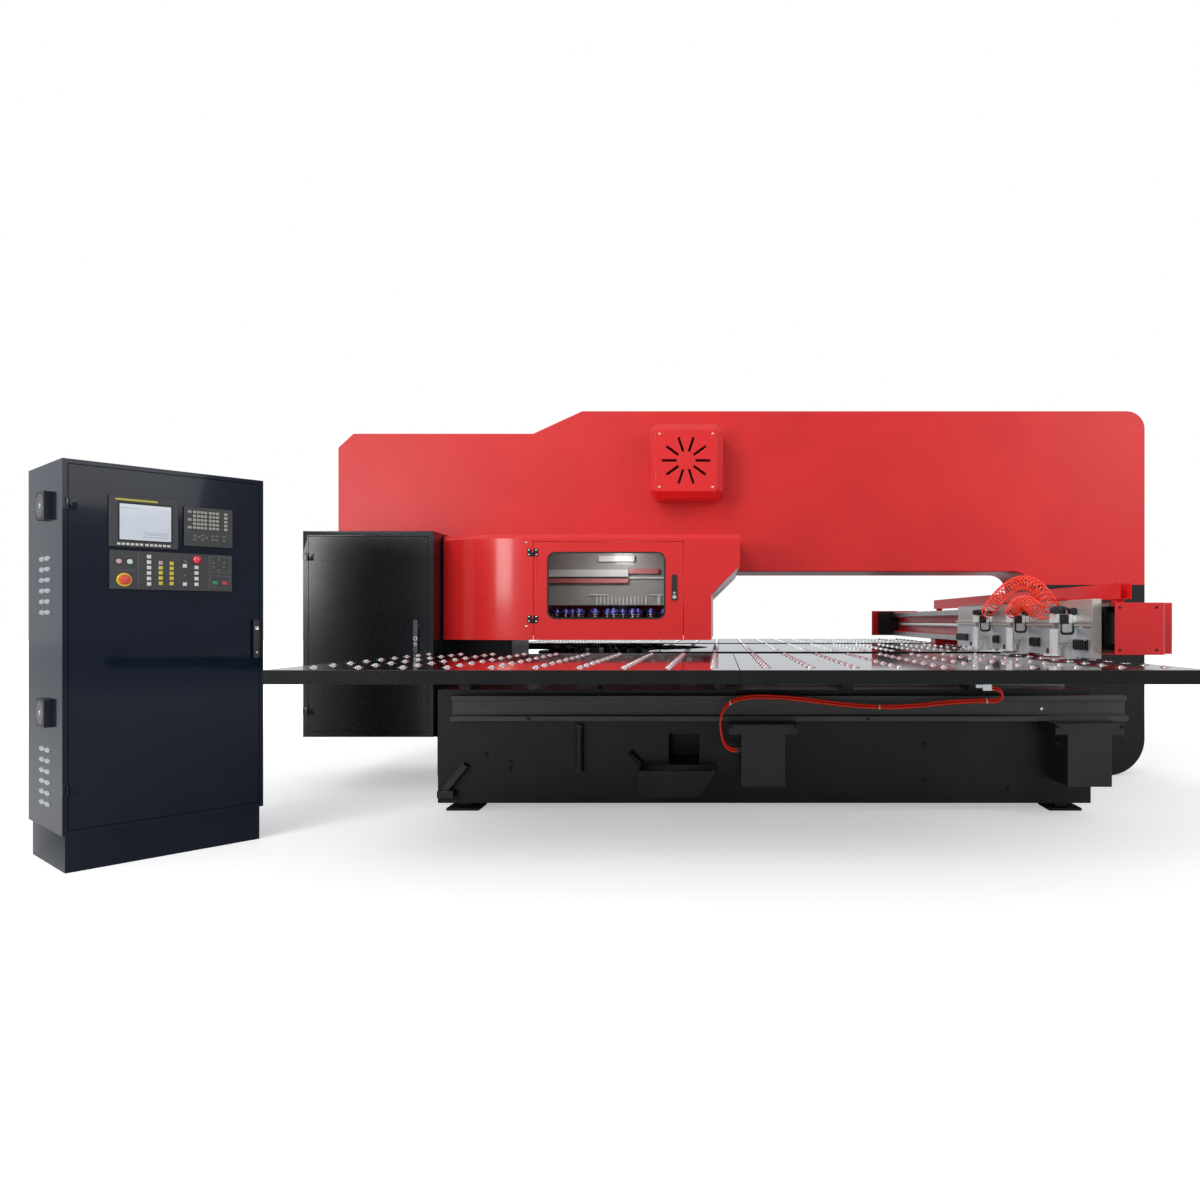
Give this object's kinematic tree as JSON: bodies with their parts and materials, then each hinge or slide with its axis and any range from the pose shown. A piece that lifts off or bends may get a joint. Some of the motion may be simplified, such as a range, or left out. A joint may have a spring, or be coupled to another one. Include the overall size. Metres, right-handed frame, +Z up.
{
  "type": "cnc turret punch press",
  "caption": "Turret punch press with closed frame, windowed turret cover, ball tables, clamp carriage on a cross beam and a free-standing control cabinet.",
  "frame": {"origin": "on the floor under the middle of the main frame", "axes": "+X right along the frame seen from the operator, +Y away from the operator, +Z up"},
  "size_m": [5.7004, 5.562, 2.35],
  "materials": {
    "main_frame": "satin",
    "levelling_feet": "satin",
    "vent_box": "satin",
    "vent_fan": "matte",
    "punch_cylinder": "satin",
    "ram": "polished",
    "turret_bearings": "satin",
    "upper_turret": "satin",
    "punches": "satin",
    "lower_turret": "satin",
    "dies": "satin",
    "turret_cover": "satin",
    "door_hinges": "matte",
    "turret_door": "satin",
    "door_window": "clear",
    "door_latch": "matte",
    "electrical_cabinet": "satin",
    "electrical_door": "satin",
    "electrical_handle": "polished",
    "front_table_left": "gloss",
    "front_table_right": "gloss",
    "centre_table": "gloss",
    "rear_table": "gloss",
    "ball_transfers": "polished",
    "table_supports": "satin",
    "machine_base": "satin",
    "rail_channel": "satin",
    "box_brackets": "satin",
    "slug_tray": "satin",
    "cable_conduit": "matte",
    "air_hose_upper": "gloss",
    "air_hose_lower": "gloss",
    "y_rails": "satin",
    "y_screw": "polished",
    "y_screw_drive": "matte",
    "cross_beam": "satin",
    "x_rails": "polished",
    "x_screw": "polished",
    "x_screw_drive": "matte",
    "motor_cover": "satin",
    "cable_trough": "satin",
    "carriage": "satin",
    "carriage_cover": "satin",
    "clamp_bodies": "satin",
    "clamp_jaw_front": "satin",
    "clamp_jaw_middle": "satin",
    "clamp_jaw_rear": "satin",
    "control_cabinet": "gloss",
    "control_door": "gloss",
    "control_handle": "matte",
    "side_fan_covers": "matte",
    "display_unit": "matte",
    "keyboard_unit": "matte",
    "operator_panel": "matte",
    "emergency_stop": "gloss",
    "cycle_start": "gloss",
    "feed_hold": "gloss",
    "mode_knob": "gloss",
    "curly_hose_rear": "gloss",
    "curly_hose_middle": "gloss"
  },
  "bodies": {
    "machine": {"air_hose_lower": "air_hose_lower", "air_hose_upper": "air_hose_upper", "ball_transfers": "ball_transfers", "box_brackets": "box_brackets", "cable_conduit": "cable_conduit", "centre_table": "centre_table", "control_cabinet": "control_cabinet", "door_hinges": "door_hinges", "electrical_cabinet": "electrical_cabinet", "front_table_left": "front_table_left", "front_table_right": "front_table_right", "levelling_feet": "levelling_feet", "machine_base": "machine_base", "main_frame": "main_frame", "punch_cylinder": "punch_cylinder", "rail_channel": "rail_channel", "rear_table": "rear_table", "side_fan_covers": "side_fan_covers", "slug_tray": "slug_tray", "table_supports": "table_supports", "turret_bearings": "turret_bearings", "turret_cover": "turret_cover", "vent_box": "vent_box", "y_rails": "y_rails", "y_screw_drive": "y_screw_drive"},
    "vent_fan": {"vent_fan": "vent_fan"},
    "ram": {"ram": "ram"},
    "upper_turret": {"upper_turret": "upper_turret", "punches": "punches"},
    "lower_turret": {"lower_turret": "lower_turret", "dies": "dies"},
    "turret_door": {"turret_door": "turret_door", "door_window": "door_window"},
    "door_latch": {"door_latch": "door_latch"},
    "electrical_door": {"electrical_door": "electrical_door"},
    "electrical_handle": {"electrical_handle": "electrical_handle"},
    "y_screw": {"y_screw": "y_screw"},
    "cross_beam": {"cross_beam": "cross_beam", "x_rails": "x_rails", "x_screw_drive": "x_screw_drive", "motor_cover": "motor_cover", "cable_trough": "cable_trough"},
    "x_screw": {"x_screw": "x_screw"},
    "carriage": {"carriage": "carriage", "carriage_cover": "carriage_cover", "clamp_bodies": "clamp_bodies", "curly_hose_rear": "curly_hose_rear", "curly_hose_middle": "curly_hose_middle"},
    "clamp_jaw_front": {"clamp_jaw_front": "clamp_jaw_front"},
    "clamp_jaw_middle": {"clamp_jaw_middle": "clamp_jaw_middle"},
    "clamp_jaw_rear": {"clamp_jaw_rear": "clamp_jaw_rear"},
    "control_door": {"control_door": "control_door", "display_unit": "display_unit", "keyboard_unit": "keyboard_unit", "operator_panel": "operator_panel"},
    "control_handle": {"control_handle": "control_handle"},
    "emergency_stop": {"emergency_stop": "emergency_stop"},
    "cycle_start": {"cycle_start": "cycle_start"},
    "feed_hold": {"feed_hold": "feed_hold"},
    "mode_knob": {"mode_knob": "mode_knob"}
  },
  "joints": [
    {"name": "y_axis", "type": "slide", "parent": "machine", "child": "cross_beam", "axis": [-1, 0, 0], "range_m": [0, 1.25]},
    {"name": "x_axis", "type": "slide", "parent": "cross_beam", "child": "carriage", "axis": [0, 1, 0], "range_m": [0, 2.3]},
    {"name": "y_screw_spin", "type": "hinge", "parent": "machine", "child": "y_screw", "pos_m": [0, -0.905, 0.712], "axis": [1, 0, 0], "range_deg": [0, 11251]},
    {"name": "x_screw_spin", "type": "hinge", "parent": "cross_beam", "child": "x_screw", "pos_m": [1.56, 0, 0.967], "axis": [0, 1, 0], "range_deg": [0, 20701]},
    {"name": "turret_spin", "type": "hinge", "parent": "machine", "child": "upper_turret", "pos_m": [-0.8, 0, 0.905], "axis": [0, 0, 1], "continuous": true},
    {"name": "lower_turret_spin", "type": "hinge", "parent": "machine", "child": "lower_turret", "pos_m": [-0.8, 0, 0.8], "axis": [0, 0, 1], "continuous": true},
    {"name": "ram_stroke", "type": "slide", "parent": "machine", "child": "ram", "axis": [0, 0, -1], "range_m": [0, 0.035]},
    {"name": "vent_fan_spin", "type": "hinge", "parent": "machine", "child": "vent_fan", "pos_m": [-0.349, -0.4, 1.991], "axis": [0, 1, 0], "continuous": true},
    {"name": "turret_door_hinge", "type": "hinge", "parent": "machine", "child": "turret_door", "pos_m": [-1.23, -0.814, 1.2], "axis": [0, 0, -1], "range_deg": [0, 110]},
    {"name": "door_latch_turn", "type": "hinge", "parent": "turret_door", "child": "door_latch", "pos_m": [-0.405, -0.807, 1.248], "axis": [0, 1, 0], "range_deg": [0, 90]},
    {"name": "electrical_door_hinge", "type": "hinge", "parent": "machine", "child": "electrical_door", "pos_m": [-2.533, -0.834, 0.9], "axis": [0, 0, -1], "range_deg": [0, 110]},
    {"name": "electrical_handle_turn", "type": "hinge", "parent": "electrical_door", "child": "electrical_handle", "pos_m": [-1.902, -0.827, 0.967], "axis": [0, 1, 0], "range_deg": [0, 90]},
    {"name": "clamp_front_close", "type": "hinge", "parent": "carriage", "child": "clamp_jaw_front", "pos_m": [1.382, -2.02, 0.93], "axis": [0, -1, 0], "range_deg": [0, 7]},
    {"name": "clamp_middle_close", "type": "hinge", "parent": "carriage", "child": "clamp_jaw_middle", "pos_m": [1.382, -1.408, 0.93], "axis": [0, -1, 0], "range_deg": [0, 7]},
    {"name": "clamp_rear_close", "type": "hinge", "parent": "carriage", "child": "clamp_jaw_rear", "pos_m": [1.382, -0.796, 0.93], "axis": [0, -1, 0], "range_deg": [0, 7]},
    {"name": "control_door_hinge", "type": "hinge", "parent": "machine", "child": "control_door", "pos_m": [-2.70871, -2.50148, 0.8], "axis": [0, 0, -1], "range_deg": [0, 110]},
    {"name": "control_handle_turn", "type": "hinge", "parent": "control_door", "child": "control_handle", "pos_m": [-2.25769, -1.95309, 0.985], "axis": [-0.766, 0.6428, 0], "range_deg": [-90, 0]},
    {"name": "emergency_stop_push", "type": "slide", "parent": "control_door", "child": "emergency_stop", "axis": [-0.766, 0.6428, 0], "range_m": [0, 0.006], "stiffness_N_per_m": 600},
    {"name": "cycle_start_push", "type": "slide", "parent": "control_door", "child": "cycle_start", "axis": [-0.766, 0.6428, 0], "range_m": [0, 0.003], "stiffness_N_per_m": 500},
    {"name": "feed_hold_push", "type": "slide", "parent": "control_door", "child": "feed_hold", "axis": [-0.766, 0.6428, 0], "range_m": [0, 0.003], "stiffness_N_per_m": 500},
    {"name": "mode_knob_turn", "type": "hinge", "parent": "control_door", "child": "mode_knob", "pos_m": [-2.41582, -2.14153, 1.262], "axis": [-0.766, 0.6428, 0], "range_deg": [-150, 150]}
  ],
  "couplings": [
    {"joint": "y_screw_spin", "follows": "y_axis", "rad_per_m": 157.08},
    {"joint": "x_screw_spin", "follows": "x_axis", "rad_per_m": 157.08},
    {"joint": "lower_turret_spin", "follows": "turret_spin", "ratio": 1},
    {"joint": "clamp_middle_close", "follows": "clamp_front_close", "ratio": 1},
    {"joint": "clamp_rear_close", "follows": "clamp_front_close", "ratio": 1}
  ]
}
